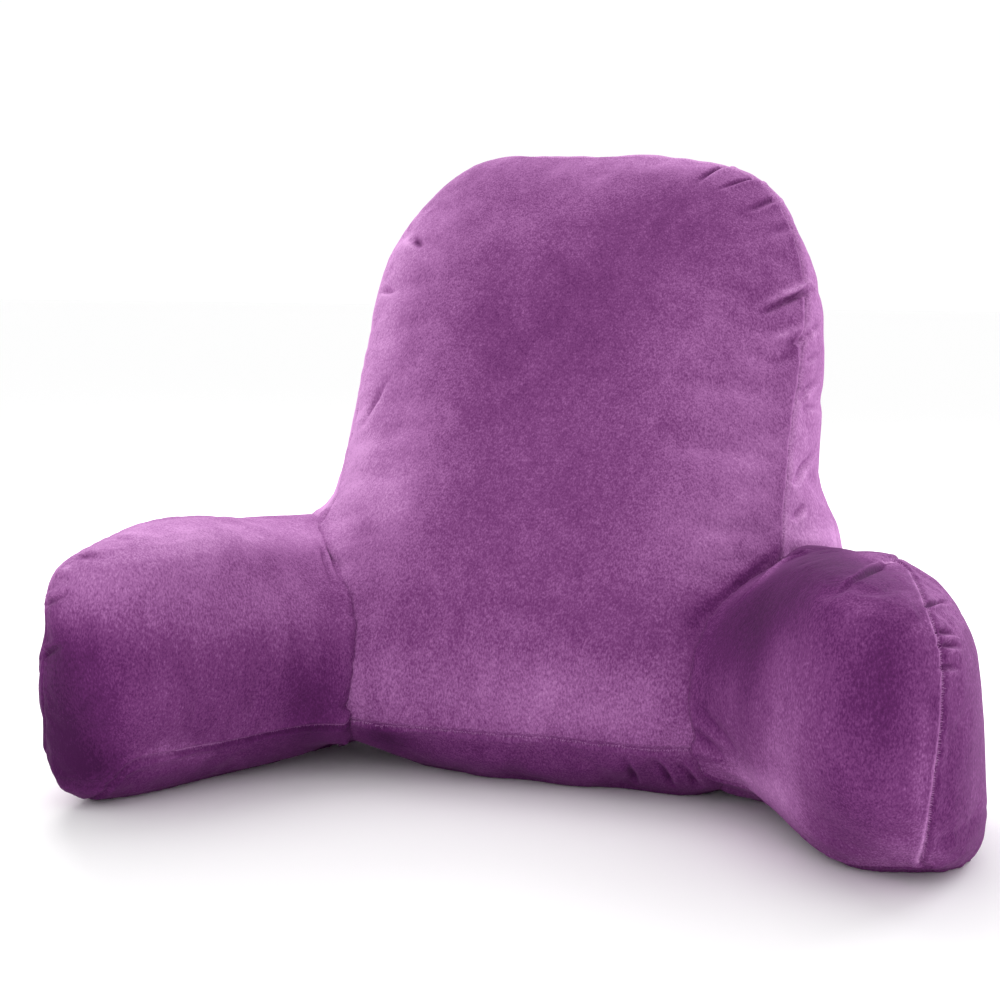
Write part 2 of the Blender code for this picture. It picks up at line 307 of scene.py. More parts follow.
# Where two cushions are sewn together their cloth rises into a soft valley. Each rise is
# given for the joint's low part, under the first height, and for its high part, over the second.
joint = {
    "reach": 0.036,                      # how far from the other cushion the cloth rises
    "heights": (0.120, 0.170),
    "floorFade": (0.006, 0.035),         # heights over which the rise sets in
    "backRise": {"arm_left": (0.002, 0.014), "arm_right": (0.003, 0.004)},
    "armRise": {"arm_left": (0.011, 0.001), "arm_right": (0.008, 0.001)},
}
filling = {
    "weld": 0.00005,                     # points of a solid nearer than this become one
    "frames": 20,
    "sewnWidth": 0.004,                  # cloth this near a seam is held by it
    "floorHeld": 0.001,                  # and this near the floor
    "jointHeld": 0.002,                  # and an arm's cloth this near the backrest
    "jointFade": 0.025,                  # an arm swells less this near the backrest
    "floorKept": 0.002,                  # the start is smaller only above this height
    "jointKept": 0.001,                  # and further than this from the backrest
    "lumpFade": (0.002, 0.030),          # heights over which the lumps set in
    "refineWidth": 0.008,                # the mesh is finer this near seams and folds
    "foldWidth": 0.006,                  # and finer again this near a fold or a standing edge
}


def pulled(points, pulls):
    points = np.array(points, float)
    for pull in pulls:
        gap = np.linalg.norm(points - pull["place"], axis=1) / pull["reach"]
        share = np.clip(1 - gap * gap, 0, 1) ** 2
        points += share[:, None] * np.array(pull["move"])
    return points


def copySolid(name, node):
    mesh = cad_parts[node].data.copy()
    mesh.name = name
    mesh.materials.clear()
    shape = bmesh.new()
    shape.from_mesh(mesh)
    bmesh.ops.remove_doubles(shape, verts=shape.verts, dist=filling["weld"])
    shape.to_mesh(mesh)
    shape.free()
    item = bpy.data.objects.new(name, mesh)
    bpy.context.scene.collection.objects.link(item)
    return item


def remesh(item, voxel):
    select(item)
    item.data.remesh_voxel_size = voxel
    bpy.ops.object.voxel_remesh()
    smooth = item.modifiers.new("Even out", 'SMOOTH')
    smooth.iterations = 2
    smooth.factor = 0.5
    apply(item, smooth)


def flattenBase(item, onFloor=None):
    points = pointsOf(item.data)
    points[:, 2] = np.maximum(points[:, 2], 0)
    if onFloor is not None:
        points[onFloor, 2] = 0
    setPoints(item.data, points)


def swell(item, look, lines, neighbour=None):
    before = pointsOf(item.data)
    normals = normalsOf(item.data)
    held = before[:, 2] < filling["floorHeld"]
    for line in lines:
        held |= nearestOnLine(before, normals, line)[0] < filling["sewnWidth"]
    group = item.vertex_groups.new(name="sewn")
    group.add([int(index) for index in np.flatnonzero(held)], 1.0, 'REPLACE')
    cloth = item.modifiers.new("Filling", 'CLOTH')
    cloth.settings.vertex_group_mass = group.name
    cloth.settings.use_pressure = True
    cloth.settings.uniform_pressure_force = look["pressure"]
    cloth.settings.shrink_min = -look["spareCloth"]
    cloth.settings.effector_weights.gravity = 0
    cloth.collision_settings.use_collision = False
    cloth.point_cache.frame_end = filling["frames"]
    for number in range(1, filling["frames"] + 1):
        bpy.context.scene.frame_set(number)
    apply(item, cloth)
    bpy.context.scene.frame_set(1)
    item.vertex_groups.clear()
    move = pointsOf(item.data) - before
    length = np.maximum(np.linalg.norm(move, axis=1), 1e-9)      # never zero, as it divides
    kept = look["mostMove"] * np.tanh(length / look["mostMove"]) / length
    if neighbour is not None:
        near = np.array([neighbour.find_nearest(Vector(point))[3] for point in before])
        kept *= smoothStep(near, filling["jointHeld"], filling["jointFade"])
    setPoints(item.data, before + move * kept[:, None])


def shrink(item, amount, neighbour=None):
    points = pointsOf(item.data)
    factor = np.full(len(points), amount)
    factor[points[:, 2] < filling["floorKept"]] = 0
    if neighbour is not None:
        near = np.array([neighbour.find_nearest(Vector(point))[3] for point in points])
        factor *= smoothStep(near, filling["jointKept"], filling["jointFade"])
    setPoints(item.data, points - normalsOf(item.data) * factor[:, None])


def subdivide(item):
    finer = item.modifiers.new("Finer", 'SUBSURF')
    finer.levels = 1
    finer.render_levels = 1
    apply(item, finer)


def refineNear(item, lines, width):      # one more cut across the faces next to the lines
    points = pointsOf(item.data)
    normals = normalsOf(item.data)
    near = np.zeros(len(points), bool)
    for line in lines:
        near |= nearestOnLine(points, normals, line)[0] < width
    shape = bmesh.new()
    shape.from_mesh(item.data)
    shape.verts.ensure_lookup_table()
    edges = [edge for edge in shape.edges
             if near[edge.verts[0].index] and near[edge.verts[1].index]]
    bmesh.ops.subdivide_edges(shape, edges=edges, cuts=1, use_grid_fill=True)
    shape.to_mesh(item.data)
    shape.free()


def lumps(item, look):                   # the filling is never quite even
    points = pointsOf(item.data)
    normals = normalsOf(item.data)
    raised = np.array([noise.noise(Vector(point) / look["lumpSize"]) for point in points])
    raised *= look["lumpHeight"] * smoothStep(points[:, 2], *filling["lumpFade"])
    setPoints(item.data, points + normals * raised[:, None])


def riseToward(item, tree, rise):        # the cloth rises near a cushion it is sewn to
    points = pointsOf(item.data)
    height = np.zeros(len(points))
    for index, point in enumerate(points):
        place, _, _, far = tree.find_nearest(Vector(point), joint["reach"])
        if place is not None:
            height[index] = (1 - far / joint["reach"]) ** 3
    upper = smoothStep(points[:, 2], *joint["heights"])
    height *= rise[0] + (rise[1] - rise[0]) * upper
    height *= smoothStep(points[:, 2], *joint["floorFade"])
    setPoints(item.data, points + normalsOf(item.data) * height[:, None])


def makeCushion(name, node, look, pulls, lines, rises, neighbour=None):
    item = copySolid(name, node)
    remesh(item, look["voxel"])
    onFloor = pointsOf(item.data)[:, 2] < look["voxel"] / 4
    setPoints(item.data, pulled(pointsOf(item.data), pulls))
    shrink(item, look["startSmaller"], neighbour)
    flattenBase(item, onFloor)
    swell(item, look, lines, neighbour)
    flattenBase(item, onFloor)
    subdivide(item)
    lumps(item, look)
    for tree, rise in rises:
        riseToward(item, tree, rise)
    flattenBase(item)
    print(name, "filled,", len(item.data.polygons), "faces")
    return item


# Where stitching pulls the cloth in. A seam is a groove, with the cloth proud beside it.
seamLook = {
    "depth": 0.0022,
    "width": 0.0022,
    "lip": 0.0007,
    "lipAway": 0.0048,
    "floorFade": (0.0005, 0.004),        # heights over which seams and folds set in
    # how hard each seam is drawn in
    "shares": {"front": 0.7, "rear": 1.0, "base": 1.0, "strip": 0.15, "end": 0.6},
}

# Folds and puckers by the photo's pixels, each from its deep end to where it runs out.
# Depth, width and lip are in metres. The lip stands on the right of the way it runs, or on
# the left where it is negative.
backFolds = (
    {"pixels": ((728, 167), (712, 171), (695, 184)),
     "depth": 0.0048, "width": 0.0023, "lip": -0.0030},
    {"pixels": ((760, 181), (740, 181), (714, 191)),
     "depth": 0.0040, "width": 0.0023, "lip": -0.0026},
    {"pixels": ((779, 198), (765, 203), (744, 213)),
     "depth": 0.0034, "width": 0.0023, "lip": -0.0022},
    {"pixels": ((790, 226), (778, 230), (766, 236)),
     "depth": 0.0016, "width": 0.0040, "lip": -0.0010},
    {"pixels": ((811, 289), (796, 296), (780, 303), (758, 315)),
     "depth": 0.0056, "width": 0.0025, "lip": 0.0052},
    {"pixels": ((808, 335), (798, 340), (772, 350)),
     "depth": 0.0040, "width": 0.0036, "lip": 0.0030},
    {"pixels": ((800, 345), (788, 356), (770, 368)),
     "depth": 0.0030, "width": 0.0050, "lip": 0.0016},
    {"pixels": ((405, 231), (413, 239), (422, 248)),
     "depth": 0.0055, "width": 0.0032, "lip": 0.0028},
    {"pixels": ((382, 291), (388, 291), (396, 292)),
     "depth": 0.0030, "width": 0.0030, "lip": 0.0016},
    {"pixels": ((364, 421), (373, 404), (382, 386), (392, 374)),
     "depth": 0.0038, "width": 0.0042, "lip": 0.0016},
    {"pixels": ((635, 782), (630, 770), (622, 756)),
     "depth": 0.0040, "width": 0.0026, "lip": 0.0016},
    {"pixels": ((672, 785), (664, 772), (652, 758)),
     "depth": 0.0040, "width": 0.0026, "lip": 0.0016},
    {"pixels": ((698, 786), (688, 774), (676, 762)),
     "depth": 0.0036, "width": 0.0026, "lip": 0.0014},
)
stripFolds = (
    {"pixels": ((800, 398), (808, 388), (819, 378)),
     "depth": 0.0030, "width": 0.0028, "lip": 0.0020},
    {"pixels": ((803, 409), (811, 407), (819, 408)),
     "depth": 0.0022, "width": 0.0024, "lip": 0.0014},
    {"pixels": ((794, 482), (803, 466), (816, 446)),
     "depth": 0.0034, "width": 0.0028, "lip": 0.0022},
    {"pixels": ((795, 517), (806, 504), (824, 488)),
     "depth": 0.0034, "width": 0.0028, "lip": 0.0022},
    {"pixels": ((805, 338), (812, 330), (821, 322)),
     "depth": 0.0022, "width": 0.0026, "lip": 0.0014},
    {"pixels": ((806, 362), (813, 357), (820, 352)),
     "depth": 0.0020, "width": 0.0024, "lip": 0.0012},
)
leftFolds = (
    {"pixels": ((46, 604), (56, 599), (74, 590)),
     "depth": 0.0032, "width": 0.0023, "lip": -0.0020},
    {"pixels": ((41, 658), (51, 651), (68, 643)),
     "depth": 0.0032, "width": 0.0023, "lip": -0.0020},
    {"pixels": ((58, 577), (64, 578), (75, 583)),
     "depth": 0.0022, "width": 0.0030, "lip": -0.0012},
    {"pixels": ((76, 559), (86, 556), (106, 560)),
     "depth": 0.0020, "width": 0.0026, "lip": -0.0014},
    {"pixels": ((114, 538), (122, 538), (135, 543)),
     "depth": 0.0018, "width": 0.0034, "lip": -0.0010},
    {"pixels": ((326, 534), (331, 553), (340, 580)),
     "depth": 0.0034, "width": 0.0022, "lip": -0.0016},
    {"pixels": ((322, 548), (327, 566), (334, 590)),
     "depth": 0.0020, "width": 0.0022, "lip": -0.0012},
)
rightFolds = (
    {"pixels": ((886, 562), (865, 575), (835, 598)),
     "depth": 0.0036, "width": 0.0020, "lip": 0.0030},
    {"pixels": ((801, 552), (778, 565), (756, 584), (732, 609)),
     "depth": 0.0046, "width": 0.0022, "lip": -0.0030},
    {"pixels": ((925, 607), (934, 603), (950, 601)),
     "depth": 0.0034, "width": 0.0018, "lip": 0.0022},
    {"pixels": ((938, 633), (946, 632), (958, 634)),
     "depth": 0.0032, "width": 0.0018, "lip": 0.0022},
    {"pixels": ((940, 646), (948, 645), (962, 647)),
     "depth": 0.0032, "width": 0.0018, "lip": 0.0022},
    {"pixels": ((942, 668), (949, 667), (960, 667)),
     "depth": 0.0030, "width": 0.0018, "lip": 0.0020},
    {"pixels": ((696, 706), (716, 726), (742, 756)),
     "depth": 0.0018, "width": 0.0050, "lip": 0.0012},
    {"pixels": ((692, 728), (710, 744), (732, 768)),
     "depth": 0.0018, "width": 0.0045, "lip": 0.0012},
)
foldLook = {
    "spacing": 0.003,                    # between the points of a fold's curve
    "lipAway": 1.9,                      # from a fold to its lip, in widths of the fold
    "startShare": 0.3,                   # share of the full depth at the deep end itself
    "startLength": 0.25,                 # share of the length until the depth is full
    "paintedHighlight": 58.0,                       # painted highlight on a lip, for each metre of height
    "paintedShade": 44.0,                      # painted shade in a fold, for each metre of depth
}


def sewSeams(item, lines, push):
    points = pointsOf(item.data)
    normals = normalsOf(item.data)
    for line, share in lines:
        gap, _, _ = nearestOnLine(points, normals, line)
        beside = (gap - seamLook["lipAway"]) / seamLook["width"]
        push -= share * seamLook["depth"] * np.exp(-(gap / seamLook["width"]) ** 2)
        push += share * seamLook["lip"] * np.exp(-beside ** 2)


# Along part of one seam of each arm the pile stands proud on one side, with a painted highlight on
# it, and there is painted shade on the other side.
proud = {
    "away": 0.0014,                      # from the seam to the standing edge
    "width": 0.0015,
    "height": 0.0007,
    "paintedHighlight": 0.30,                       # painted highlight on the standing edge
    "paintedShade": 0.10,                      # painted shade on the other side
    "darkAway": 1.6,                     # as far there, and as wide, in units of "away"
    # the seam, its first knot, the knot where the run has ended, and the side
    "runs": {"arm_left": ("base", 0, 4, 1), "arm_right": ("end", 1, 14, -1)},
}


def standProud(item, line, side, push, shade):
    gap, onSide, _ = nearestOnLine(pointsOf(item.data), normalsOf(item.data), line)
    across = gap * onSide * side
    ridge = np.exp(-((across - proud["away"]) / proud["width"]) ** 2)
    push += proud["height"] * ridge
    # painted highlight on the standing edge and painted shade behind the seam
    shade += proud["paintedHighlight"] * ridge
    behind = (across / proud["away"] + proud["darkAway"]) / proud["darkAway"]
    shade -= proud["paintedShade"] * np.exp(-behind ** 2)


def foldLines(tree, folds):
    found = []
    for fold in folds:
        line = lineOver(tree, fold["pixels"], foldLook["spacing"])
        if line is not None:
            found.append((line, fold))
    return found


def pressFolds(item, folds, push, shade):
    points = pointsOf(item.data)
    normals = normalsOf(item.data)
    for line, fold in folds:
        gap, side, along = nearestOnLine(points, normals, line)
        start = smoothStep(along, 0, foldLook["startLength"])
        start = foldLook["startShare"] + (1 - foldLook["startShare"]) * start
        fade = (1 - along ** 2) * start
        across = gap * side
        inside = fade * np.exp(-(gap / fold["width"]) ** 2)
        lipPlace = foldLook["lipAway"] * fold["width"] * np.sign(fold["lip"])
        onLip = fade * np.exp(-((across - lipPlace) / fold["width"]) ** 2)
        push += abs(fold["lip"]) * onLip - fold["depth"] * inside
        # painted highlight on the lip and painted shade in the fold
        shade += foldLook["paintedHighlight"] * abs(fold["lip"]) * onLip
        shade -= foldLook["paintedShade"] * fold["depth"] * inside


def finishSurface(item, seamLines, folds, runs=()):
    refineNear(item, [line for line, look in seamLines + folds], filling["refineWidth"])
    refineNear(item, [line for line, look in folds + list(runs)], filling["foldWidth"])
    push = np.zeros(len(item.data.vertices))
    shade = np.zeros(len(push))
    sewSeams(item, seamLines, push)
    pressFolds(item, folds, push, shade)
    for line, side in runs:
        standProud(item, line, side, push, shade)
    points = pointsOf(item.data)
    push *= smoothStep(points[:, 2], *seamLook["floorFade"])
    setPoints(item.data, points + normalsOf(item.data) * push[:, None])
    flattenBase(item)
    item.data.shade_smooth()
    print(item.name, "sewn,", len(item.data.polygons), "faces")
    return shade


def treeOf(item):
    return BVHTree.FromObject(item, bpy.context.evaluated_depsgraph_get())


frontSeam = pulled(frontSeam, backrest["pulls"])
rearSeam = pulled(rearSeam, backrest["pulls"])
armTrees = {name: treeOf(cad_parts[name]) for name in armSeams}
backPiece = makeCushion("backrest_cushion", "backrest", backrest, backrest["pulls"],
                        [frontSeam, rearSeam],
                        [(armTrees[name], joint["backRise"][name]) for name in armTrees])
backTree = treeOf(backPiece)
backSeams = [onSurface(backTree, frontSeam), onSurface(backTree, rearSeam)]
shades = {}
shades["backrest"] = finishSurface(
    backPiece, list(zip(backSeams, (seamLook["shares"]["front"], seamLook["shares"]["rear"]))),
    foldLines(backTree, backFolds + stripFolds))
backTree = treeOf(backPiece)

armPieces = {}
armLines = {}
armRuns = {}
for name, folds in (("arm_left", leftFolds), ("arm_right", rightFolds)):
    lines = [pulled(lineOver(armTrees[name], knots, seams["spacing"]), armPulls[name])
             for key, knots in armSeams[name].items() if key != "strip"]    # it isn't held
    piece = makeCushion(name + "_cushion", name, arm, armPulls[name], lines,
                        [(backTree, joint["armRise"][name])], backTree)
    tree = treeOf(piece)
    lines = {key: onSurface(tree, lineOver(tree, knots, seams["spacing"]))
             for key, knots in armSeams[name].items()}
    key, first, last, side = proud["runs"][name]
    run = lineOver(tree, armSeams[name][key][first:last], seams["spacing"])
    shades[name] = finishSurface(
        piece, [(line, seamLook["shares"][key]) for key, line in lines.items()],
        foldLines(tree, folds), [(run, side)])
    armPieces[name] = piece
    armLines[name] = lines
    armRuns[name] = run


# How pale the plush is painted, 0 dark and 1 pale: partly how the pile lies, pressed toward the
# camera or brushed away from it, and partly painted light and shade.
napAndLightTones = {
    "backFront": 0.50,
    # the strip is paler: partly its own pile, partly painted sheen
    "backStrip": 0.74,
    "backRear": 0.50,
    "armFront": 0.44,
    "armStrip": 0.50,
    "armStripFoot": 0.43,
    # the base panels are darker: partly their own pile, partly painted shade near the floor
    "base": 0.34,
    "baseHeights": (0.030, 0.075),       # heights over which the backrest's base ends
    "panelEdge": 0.001,                  # one panel's nap turns into the next's this near a seam
    "paintedTopLight": 0.10,                     # painted light where the cloth faces up
    "topFacing": (0.2, 0.9),             # how far up it faces where this sets in and is full
    "strokeFacing": (-0.1, 0.1),         # how far to the camera it faces where strokes set in
}
# Strokes over the plush, by the photo's pixels, partly pile brushed one way or the other and
# partly painted highlight, sheen, shadow and shade: middle, half width and half height, turn in
# degrees clockwise, and how much paler (or darker) it is painted there.
napAndLightStrokes = {
    "backrest": (
        # painted sheen along the backrest's left edge
        {"at": (366, 370), "reach": (24, 170), "turn": 12, "napAndPaintedLight": 0.26},
        {"at": (395, 440), "reach": (46, 150), "turn": 10, "napAndPaintedLight": 0.17},
        {"at": (400, 250), "reach": (30, 40), "turn": 20, "napAndPaintedLight": 0.10},
        {"at": (440, 215), "reach": (50, 44), "turn": 40, "napAndPaintedLight": 0.10},
        {"at": (600, 320), "reach": (60, 190), "turn": 40, "napAndPaintedLight": -0.08},
        # painted sheen along the backrest's top edge
        {"at": (600, 163), "reach": (170, 20), "turn": 0, "napAndPaintedLight": 0.10},
        {"at": (500, 318), "reach": (64, 34), "turn": -10, "napAndPaintedLight": -0.06},
        {"at": (600, 500), "reach": (60, 80), "turn": 0, "napAndPaintedLight": -0.04},
        {"at": (755, 440), "reach": (46, 150), "turn": 3, "napAndPaintedLight": 0.17},
        {"at": (680, 330), "reach": (50, 60), "turn": 20, "napAndPaintedLight": 0.06},
        {"at": (520, 695), "reach": (210, 44), "turn": 3, "napAndPaintedLight": 0.17},
        {"at": (690, 740), "reach": (30, 30), "turn": 0, "napAndPaintedLight": 0.10},
        {"at": (350, 475), "reach": (22, 90), "turn": 8, "napAndPaintedLight": 0.18},
        {"at": (396, 500), "reach": (30, 50), "turn": 0, "napAndPaintedLight": 0.10},
        {"at": (396, 290), "reach": (20, 60), "turn": 12, "napAndPaintedLight": 0.10},
        {"at": (685, 535), "reach": (44, 44), "turn": 0, "napAndPaintedLight": 0.12},
        {"at": (690, 440), "reach": (40, 90), "turn": 0, "napAndPaintedLight": 0.05},
        {"at": (600, 720), "reach": (90, 14), "turn": 2, "napAndPaintedLight": 0.06},
        {"at": (715, 163), "reach": (60, 12), "turn": 8, "napAndPaintedLight": 0.10},
        {"at": (806, 535), "reach": (26, 12), "turn": 0, "napAndPaintedLight": 0.12},
        # painted shadow in the notch under the left arm
        {"at": (388, 738), "reach": (22, 10), "turn": 15, "napAndPaintedLight": -0.22},
        {"at": (650, 220), "reach": (70, 26), "turn": -35, "napAndPaintedLight": -0.07},
        {"at": (560, 312), "reach": (22, 50), "turn": 0, "napAndPaintedLight": -0.05},
        # painted shade along the right joint's crease
        {"at": (740, 585), "reach": (62, 13), "turn": -38, "napAndPaintedLight": -0.13},
        {"at": (694, 670), "reach": (11, 60), "turn": 3, "napAndPaintedLight": -0.12},
        {"at": (838, 538), "reach": (20, 10), "turn": 30, "napAndPaintedLight": 0.14},
        # painted shadow in the notch under the left arm
        {"at": (380, 735), "reach": (18, 8), "turn": 15, "napAndPaintedLight": -0.14},
        {"at": (430, 278), "reach": (20, 14), "turn": 0, "napAndPaintedLight": 0.06},
        {"at": (672, 160), "reach": (50, 12), "turn": 2, "napAndPaintedLight": 0.09},
        {"at": (750, 178), "reach": (26, 12), "turn": 30, "napAndPaintedLight": -0.07},
        {"at": (796, 302), "reach": (20, 22), "turn": 0, "napAndPaintedLight": 0.09},
        # painted shade along the right joint's crease
        {"at": (708, 606), "reach": (28, 15), "turn": -45, "napAndPaintedLight": -0.08},
        {"at": (678, 715), "reach": (20, 28), "turn": 0, "napAndPaintedLight": -0.11},
        # painted sheen along the backrest's left edge
        {"at": (356, 380), "reach": (12, 190), "turn": 10, "napAndPaintedLight": 0.05},
        # painted sheen along the backrest's top edge
        {"at": (590, 152), "reach": (150, 9), "turn": 0, "napAndPaintedLight": 0.05},
        # painted shade along the right joint's crease
        {"at": (745, 577), "reach": (44, 5), "turn": -40, "napAndPaintedLight": -0.30},
    ),
    "arm_left": (
        # painted highlight along the left arm's top
        {"at": (190, 535), "reach": (130, 24), "turn": -3, "napAndPaintedLight": 0.24},
        {"at": (125, 580), "reach": (80, 34), "turn": -15, "napAndPaintedLight": 0.14},
        {"at": (240, 600), "reach": (110, 40), "turn": 0, "napAndPaintedLight": 0.10},
        # painted shade on the left arm's front end
        {"at": (66, 730), "reach": (46, 84), "turn": 0, "napAndPaintedLight": -0.42},
        {"at": (55, 640), "reach": (22, 34), "turn": 0, "napAndPaintedLight": -0.14},
        {"at": (315, 705), "reach": (40, 48), "turn": 0, "napAndPaintedLight": -0.24},
        {"at": (170, 756), "reach": (56, 12), "turn": -12, "napAndPaintedLight": 0.14},
        {"at": (200, 605), "reach": (140, 46), "turn": 0, "napAndPaintedLight": 0.07},
        {"at": (75, 588), "reach": (30, 30), "turn": 0, "napAndPaintedLight": 0.12},
        {"at": (80, 768), "reach": (34, 30), "turn": 0, "napAndPaintedLight": -0.14},
        {"at": (215, 528), "reach": (150, 15), "turn": 0, "napAndPaintedLight": 0.10},
        {"at": (315, 532), "reach": (26, 24), "turn": 0, "napAndPaintedLight": 0.12},
        {"at": (210, 562), "reach": (130, 30), "turn": 0, "napAndPaintedLight": 0.07},
        {"at": (62, 570), "reach": (20, 18), "turn": 0, "napAndPaintedLight": 0.10},
        {"at": (68, 623), "reach": (14, 20), "turn": 0, "napAndPaintedLight": 0.08},
        {"at": (122, 655), "reach": (30, 20), "turn": 0, "napAndPaintedLight": -0.07},
        {"at": (46, 712), "reach": (16, 40), "turn": 0, "napAndPaintedLight": -0.09},
        {"at": (106, 769), "reach": (22, 16), "turn": 0, "napAndPaintedLight": -0.12},
        {"at": (338, 598), "reach": (20, 24), "turn": 0, "napAndPaintedLight": -0.08},
        {"at": (338, 535), "reach": (18, 22), "turn": 0, "napAndPaintedLight": 0.09},
        {"at": (130, 764), "reach": (34, 12), "turn": -12, "napAndPaintedLight": -0.03},
    ),
    "arm_right": (
        {"at": (780, 592), "reach": (84, 34), "turn": -38, "napAndPaintedLight": -0.34},
        {"at": (720, 660), "reach": (30, 60), "turn": 20, "napAndPaintedLight": -0.12},
        {"at": (757, 650), "reach": (16, 50), "turn": 5, "napAndPaintedLight": -0.14},
        {"at": (850, 570), "reach": (44, 22), "turn": 10, "napAndPaintedLight": -0.22},
        {"at": (960, 760), "reach": (26, 90), "turn": 0, "napAndPaintedLight": -0.06},
        {"at": (884, 690), "reach": (24, 100), "turn": 4, "napAndPaintedLight": -0.18},
        {"at": (784, 770), "reach": (22, 90), "turn": -8, "napAndPaintedLight": 0.16},
        {"at": (840, 800), "reach": (36, 36), "turn": 0, "napAndPaintedLight": -0.10},
        {"at": (905, 852), "reach": (40, 14), "turn": 0, "napAndPaintedLight": 0.14},
        {"at": (955, 612), "reach": (22, 46), "turn": -12, "napAndPaintedLight": 0.01},
        {"at": (920, 790), "reach": (8, 84), "turn": 4, "napAndPaintedLight": 0.10},
        {"at": (848, 700), "reach": (18, 60), "turn": 0, "napAndPaintedLight": -0.07},
        {"at": (835, 640), "reach": (26, 40), "turn": 0, "napAndPaintedLight": -0.06},
        {"at": (915, 620), "reach": (14, 14), "turn": 0, "napAndPaintedLight": -0.09},
        {"at": (878, 780), "reach": (26, 30), "turn": 0, "napAndPaintedLight": 0.08},
        {"at": (948, 812), "reach": (14, 34), "turn": 0, "napAndPaintedLight": -0.08},
        {"at": (750, 778), "reach": (50, 14), "turn": 20, "napAndPaintedLight": 0.13},
        {"at": (782, 806), "reach": (50, 14), "turn": 36, "napAndPaintedLight": 0.10},
        {"at": (880, 864), "reach": (60, 11), "turn": 3, "napAndPaintedLight": 0.10},
        {"at": (874, 557), "reach": (30, 6), "turn": 14, "napAndPaintedLight": 0.22},
        {"at": (798, 715), "reach": (40, 60), "turn": -8, "napAndPaintedLight": 0.05},
        {"at": (718, 680), "reach": (18, 26), "turn": 0, "napAndPaintedLight": 0.09},
        {"at": (754, 782), "reach": (50, 12), "turn": 28, "napAndPaintedLight": 0.08},
        # painted highlights on the lip of the fold by the right joint
        {"at": (757, 580), "reach": (40, 2.5), "turn": -38, "napAndPaintedLight": 0.12},
        {"at": (770, 574), "reach": (28, 2.5), "turn": -42, "napAndPaintedLight": 0.16},
    ),
}


def strokeNapAndLight(mesh, strokes, napAndPaintedLight):
    points = pointsOf(mesh)
    toCamera = np.array(bpy.context.scene.camera.matrix_world.translation) - points
    toCamera /= np.linalg.norm(toCamera, axis=1)[:, None]
    facing = smoothStep(np.einsum("ij,ij->i", normalsOf(mesh), toCamera),
                        *napAndLightTones["strokeFacing"])
    places = photoPlaces(points)
    for stroke in strokes:
        offset = places - stroke["at"]
        turn = math.radians(stroke["turn"])
        along = offset[:, 0] * math.cos(turn) + offset[:, 1] * math.sin(turn)
        across = offset[:, 1] * math.cos(turn) - offset[:, 0] * math.sin(turn)
        gap = (along / stroke["reach"][0]) ** 2 + (across / stroke["reach"][1]) ** 2
        napAndPaintedLight += stroke["napAndPaintedLight"] * np.exp(-gap) * facing


def pastEdge(gap):                       # 0 on one panel, 1 on the next
    return smoothStep(gap, -napAndLightTones["panelEdge"], napAndLightTones["panelEdge"])


def backNapAndLight(mesh):
    points = pulled(pointsOf(mesh), [{"place": pull["place"], "reach": pull["reach"],
                                      "move": [-step for step in pull["move"]]}
                                     for pull in backrest["pulls"]])
    behindFront = pastEdge(planeGap(points, seams["frontFoot"], seams["frontLean"]))
    behindRear = pastEdge(planeGap(points, seams["rearFoot"], seams["rearLean"]))
    napAndPaintedLight = napAndLightTones["backFront"] + (napAndLightTones["backStrip"] - napAndLightTones["backFront"]) * behindFront
    napAndPaintedLight += (napAndLightTones["backRear"] - napAndLightTones["backStrip"]) * behindRear
    # darker on the base toward the floor: partly its own pile, partly painted shade
    low = 1 - smoothStep(points[:, 2], *napAndLightTones["baseHeights"])
    return napAndPaintedLight + (napAndLightTones["base"] - napAndPaintedLight) * low * behindFront


def nearestOf(points, line):             # for each point, the nearest of the line's points
    gap = np.full(len(points), farAway)
    nearest = np.zeros(points.shape)
    for place in line:
        distance = np.linalg.norm(points - place, axis=1)
        closer = distance < gap
        gap[closer] = distance[closer]
        nearest[closer] = place
    return nearest


def armNapAndLight(mesh, lines):
    points = pointsOf(mesh)
    outward = np.abs(points[:, 0]) - np.abs(nearestOf(points, lines["end"])[:, 0])
    outer = pastEdge(outward)
    napAndPaintedLight = napAndLightTones["armFront"] + (napAndLightTones["armStrip"] - napAndLightTones["armFront"]) * outer
    # the panels under the base and strip seams are darker: partly their own pile, partly painted
    # shade near the floor
    for key, side, low in (("base", 1 - outer, "base"), ("strip", outer, "armStripFoot")):
        below = pastEdge(nearestOf(points, lines[key])[:, 2] - points[:, 2])
        napAndPaintedLight += (napAndLightTones[low] - napAndPaintedLight) * below * side
    return napAndPaintedLight


def paintNapAndLight(piece, node, napAndPaintedLight):
    up = normalsOf(piece.data)[:, 2]
    # painted light: paler where the cloth faces up
    napAndPaintedLight += napAndLightTones["paintedTopLight"] * smoothStep(up, *napAndLightTones["topFacing"])
    strokeNapAndLight(piece.data, napAndLightStrokes[node], napAndPaintedLight)
    # the pile's tone, painted light on upward faces, the painted strokes, and the painted shade
    # and highlights of folds and seams
    paint(piece.data, "napAndPaintedLight", napAndPaintedLight + shades[node])


paintNapAndLight(backPiece, "backrest", backNapAndLight(backPiece.data))
for name, piece in armPieces.items():
    paintNapAndLight(piece, name, armNapAndLight(piece.data, armLines[name]))
# the pile's tone and the painted light and shade are on the cushions
print("pile brushed")


